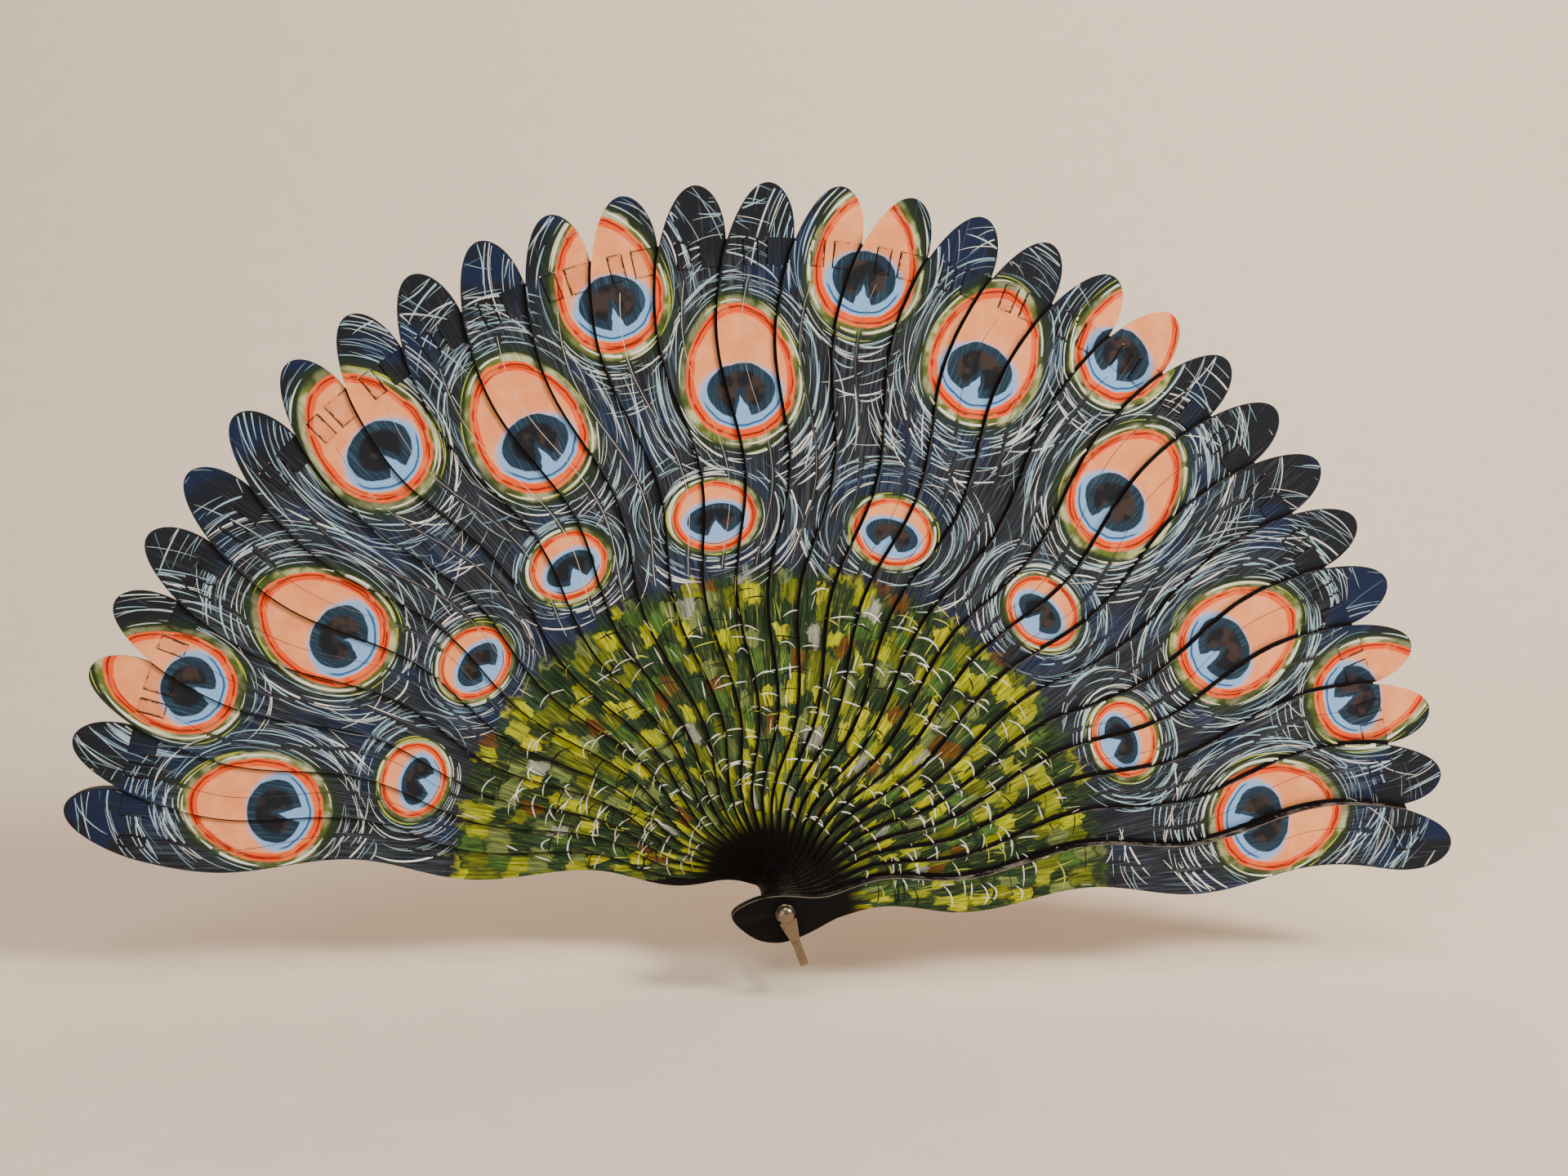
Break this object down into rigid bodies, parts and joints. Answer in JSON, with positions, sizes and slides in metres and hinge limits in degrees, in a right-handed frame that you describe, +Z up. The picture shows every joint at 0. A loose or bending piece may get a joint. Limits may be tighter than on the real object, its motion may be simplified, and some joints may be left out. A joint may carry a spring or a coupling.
{
  "type": "folding hand fan",
  "caption": "All-stick folding hand fan of painted wooden blades, turning on one rivet with a tassel loop and laced with a ribbon near the tips.",
  "frame": {"origin": "on the rivet axis, at the middle of the stack of blades", "axes": "+X to the right of the open fan, -Y towards the painted front along the rivet, +Z up"},
  "size_m": [0.4574, 0.0502, 0.2487],
  "materials": {
    "painted_wood": "satin",
    "bare_wood": "matte",
    "nickel": "polished",
    "ribbon_cloth": "matte"
  },
  "bodies": {
    "rear_guard_and_rivet": {"rear_guard": "painted_wood", "pivot_pin": "nickel", "rear_burr": "nickel", "rear_collar": "nickel", "front_collar": "nickel", "ribbon": "ribbon_cloth"},
    "stick_01": {"stick_01": "painted_wood"},
    "stick_02": {"stick_02": "painted_wood"},
    "stick_03": {"stick_03": "painted_wood"},
    "stick_04": {"stick_04": "painted_wood"},
    "stick_05": {"stick_05": "painted_wood"},
    "stick_06": {"stick_06": "painted_wood"},
    "stick_07": {"stick_07": "painted_wood"},
    "stick_08": {"stick_08": "painted_wood"},
    "stick_09": {"stick_09": "painted_wood"},
    "stick_10": {"stick_10": "painted_wood"},
    "stick_11": {"stick_11": "painted_wood"},
    "stick_12": {"stick_12": "painted_wood"},
    "stick_13": {"stick_13": "painted_wood"},
    "stick_14": {"stick_14": "painted_wood"},
    "stick_15": {"stick_15": "painted_wood"},
    "stick_16": {"stick_16": "painted_wood"},
    "stick_17": {"stick_17": "painted_wood"},
    "stick_18": {"stick_18": "painted_wood"},
    "stick_19": {"stick_19": "painted_wood"},
    "stick_20": {"stick_20": "painted_wood"},
    "stick_21": {"stick_21": "painted_wood"},
    "stick_22": {"stick_22": "painted_wood"},
    "stick_23": {"stick_23": "painted_wood"},
    "stick_24": {"stick_24": "painted_wood"},
    "stick_25": {"stick_25": "painted_wood"},
    "stick_26": {"stick_26": "painted_wood"},
    "stick_27": {"stick_27": "painted_wood"},
    "stick_28": {"stick_28": "painted_wood"},
    "front_guard": {"front_guard": "painted_wood"},
    "tassel_loop": {"tassel_loop": "nickel"}
  },
  "joints": [
    {"name": "fan_fold", "type": "hinge", "parent": "rear_guard_and_rivet", "child": "front_guard", "pos_m": [0, 0, 0], "axis": [0, -1, 0], "range_deg": [0, 168.78], "deforming": ["ribbon"]},
    {"name": "stick_01_turn", "type": "hinge", "parent": "rear_guard_and_rivet", "child": "stick_01", "pos_m": [0, 0, 0], "axis": [0, -1, 0], "range_deg": [0, 5.82]},
    {"name": "stick_02_turn", "type": "hinge", "parent": "rear_guard_and_rivet", "child": "stick_02", "pos_m": [0, 0, 0], "axis": [0, -1, 0], "range_deg": [0, 11.64]},
    {"name": "stick_03_turn", "type": "hinge", "parent": "rear_guard_and_rivet", "child": "stick_03", "pos_m": [0, 0, 0], "axis": [0, -1, 0], "range_deg": [0, 17.46]},
    {"name": "stick_04_turn", "type": "hinge", "parent": "rear_guard_and_rivet", "child": "stick_04", "pos_m": [0, 0, 0], "axis": [0, -1, 0], "range_deg": [0, 23.28]},
    {"name": "stick_05_turn", "type": "hinge", "parent": "rear_guard_and_rivet", "child": "stick_05", "pos_m": [0, 0, 0], "axis": [0, -1, 0], "range_deg": [0, 29.1]},
    {"name": "stick_06_turn", "type": "hinge", "parent": "rear_guard_and_rivet", "child": "stick_06", "pos_m": [0, 0, 0], "axis": [0, -1, 0], "range_deg": [0, 34.92]},
    {"name": "stick_07_turn", "type": "hinge", "parent": "rear_guard_and_rivet", "child": "stick_07", "pos_m": [0, 0, 0], "axis": [0, -1, 0], "range_deg": [0, 40.74]},
    {"name": "stick_08_turn", "type": "hinge", "parent": "rear_guard_and_rivet", "child": "stick_08", "pos_m": [0, 0, 0], "axis": [0, -1, 0], "range_deg": [0, 46.56]},
    {"name": "stick_09_turn", "type": "hinge", "parent": "rear_guard_and_rivet", "child": "stick_09", "pos_m": [0, 0, 0], "axis": [0, -1, 0], "range_deg": [0, 52.38]},
    {"name": "stick_10_turn", "type": "hinge", "parent": "rear_guard_and_rivet", "child": "stick_10", "pos_m": [0, 0, 0], "axis": [0, -1, 0], "range_deg": [0, 58.2]},
    {"name": "stick_11_turn", "type": "hinge", "parent": "rear_guard_and_rivet", "child": "stick_11", "pos_m": [0, 0, 0], "axis": [0, -1, 0], "range_deg": [0, 64.02]},
    {"name": "stick_12_turn", "type": "hinge", "parent": "rear_guard_and_rivet", "child": "stick_12", "pos_m": [0, 0, 0], "axis": [0, -1, 0], "range_deg": [0, 69.84]},
    {"name": "stick_13_turn", "type": "hinge", "parent": "rear_guard_and_rivet", "child": "stick_13", "pos_m": [0, 0, 0], "axis": [0, -1, 0], "range_deg": [0, 75.66]},
    {"name": "stick_14_turn", "type": "hinge", "parent": "rear_guard_and_rivet", "child": "stick_14", "pos_m": [0, 0, 0], "axis": [0, -1, 0], "range_deg": [0, 81.48]},
    {"name": "stick_15_turn", "type": "hinge", "parent": "rear_guard_and_rivet", "child": "stick_15", "pos_m": [0, 0, 0], "axis": [0, -1, 0], "range_deg": [0, 87.3]},
    {"name": "stick_16_turn", "type": "hinge", "parent": "rear_guard_and_rivet", "child": "stick_16", "pos_m": [0, 0, 0], "axis": [0, -1, 0], "range_deg": [0, 93.12]},
    {"name": "stick_17_turn", "type": "hinge", "parent": "rear_guard_and_rivet", "child": "stick_17", "pos_m": [0, 0, 0], "axis": [0, -1, 0], "range_deg": [0, 98.94]},
    {"name": "stick_18_turn", "type": "hinge", "parent": "rear_guard_and_rivet", "child": "stick_18", "pos_m": [0, 0, 0], "axis": [0, -1, 0], "range_deg": [0, 104.76]},
    {"name": "stick_19_turn", "type": "hinge", "parent": "rear_guard_and_rivet", "child": "stick_19", "pos_m": [0, 0, 0], "axis": [0, -1, 0], "range_deg": [0, 110.58]},
    {"name": "stick_20_turn", "type": "hinge", "parent": "rear_guard_and_rivet", "child": "stick_20", "pos_m": [0, 0, 0], "axis": [0, -1, 0], "range_deg": [0, 116.4]},
    {"name": "stick_21_turn", "type": "hinge", "parent": "rear_guard_and_rivet", "child": "stick_21", "pos_m": [0, 0, 0], "axis": [0, -1, 0], "range_deg": [0, 122.22]},
    {"name": "stick_22_turn", "type": "hinge", "parent": "rear_guard_and_rivet", "child": "stick_22", "pos_m": [0, 0, 0], "axis": [0, -1, 0], "range_deg": [0, 128.04]},
    {"name": "stick_23_turn", "type": "hinge", "parent": "rear_guard_and_rivet", "child": "stick_23", "pos_m": [0, 0, 0], "axis": [0, -1, 0], "range_deg": [0, 133.86]},
    {"name": "stick_24_turn", "type": "hinge", "parent": "rear_guard_and_rivet", "child": "stick_24", "pos_m": [0, 0, 0], "axis": [0, -1, 0], "range_deg": [0, 139.68]},
    {"name": "stick_25_turn", "type": "hinge", "parent": "rear_guard_and_rivet", "child": "stick_25", "pos_m": [0, 0, 0], "axis": [0, -1, 0], "range_deg": [0, 145.5]},
    {"name": "stick_26_turn", "type": "hinge", "parent": "rear_guard_and_rivet", "child": "stick_26", "pos_m": [0, 0, 0], "axis": [0, -1, 0], "range_deg": [0, 151.32]},
    {"name": "stick_27_turn", "type": "hinge", "parent": "rear_guard_and_rivet", "child": "stick_27", "pos_m": [0, 0, 0], "axis": [0, -1, 0], "range_deg": [0, 157.14]},
    {"name": "stick_28_turn", "type": "hinge", "parent": "rear_guard_and_rivet", "child": "stick_28", "pos_m": [0, 0, 0], "axis": [0, -1, 0], "range_deg": [0, 162.96]},
    {"name": "loop_swing", "type": "hinge", "parent": "rear_guard_and_rivet", "child": "tassel_loop", "pos_m": [0, 0, 0], "axis": [0, -1, 0], "range_deg": [-75, 55]}
  ],
  "couplings": [
    {"joint": "stick_01_turn", "follows": "fan_fold", "ratio": 0.034482},
    {"joint": "stick_02_turn", "follows": "fan_fold", "ratio": 0.068965},
    {"joint": "stick_03_turn", "follows": "fan_fold", "ratio": 0.10345},
    {"joint": "stick_04_turn", "follows": "fan_fold", "ratio": 0.13793},
    {"joint": "stick_05_turn", "follows": "fan_fold", "ratio": 0.17241},
    {"joint": "stick_06_turn", "follows": "fan_fold", "ratio": 0.2069},
    {"joint": "stick_07_turn", "follows": "fan_fold", "ratio": 0.24138},
    {"joint": "stick_08_turn", "follows": "fan_fold", "ratio": 0.27586},
    {"joint": "stick_09_turn", "follows": "fan_fold", "ratio": 0.31034},
    {"joint": "stick_10_turn", "follows": "fan_fold", "ratio": 0.34483},
    {"joint": "stick_11_turn", "follows": "fan_fold", "ratio": 0.37931},
    {"joint": "stick_12_turn", "follows": "fan_fold", "ratio": 0.41379},
    {"joint": "stick_13_turn", "follows": "fan_fold", "ratio": 0.44827},
    {"joint": "stick_14_turn", "follows": "fan_fold", "ratio": 0.48276},
    {"joint": "stick_15_turn", "follows": "fan_fold", "ratio": 0.51724},
    {"joint": "stick_16_turn", "follows": "fan_fold", "ratio": 0.55172},
    {"joint": "stick_17_turn", "follows": "fan_fold", "ratio": 0.58621},
    {"joint": "stick_18_turn", "follows": "fan_fold", "ratio": 0.62069},
    {"joint": "stick_19_turn", "follows": "fan_fold", "ratio": 0.65517},
    {"joint": "stick_20_turn", "follows": "fan_fold", "ratio": 0.68966},
    {"joint": "stick_21_turn", "follows": "fan_fold", "ratio": 0.72414},
    {"joint": "stick_22_turn", "follows": "fan_fold", "ratio": 0.75862},
    {"joint": "stick_23_turn", "follows": "fan_fold", "ratio": 0.7931},
    {"joint": "stick_24_turn", "follows": "fan_fold", "ratio": 0.82759},
    {"joint": "stick_25_turn", "follows": "fan_fold", "ratio": 0.86207},
    {"joint": "stick_26_turn", "follows": "fan_fold", "ratio": 0.89655},
    {"joint": "stick_27_turn", "follows": "fan_fold", "ratio": 0.93103},
    {"joint": "stick_28_turn", "follows": "fan_fold", "ratio": 0.96552}
  ]
}
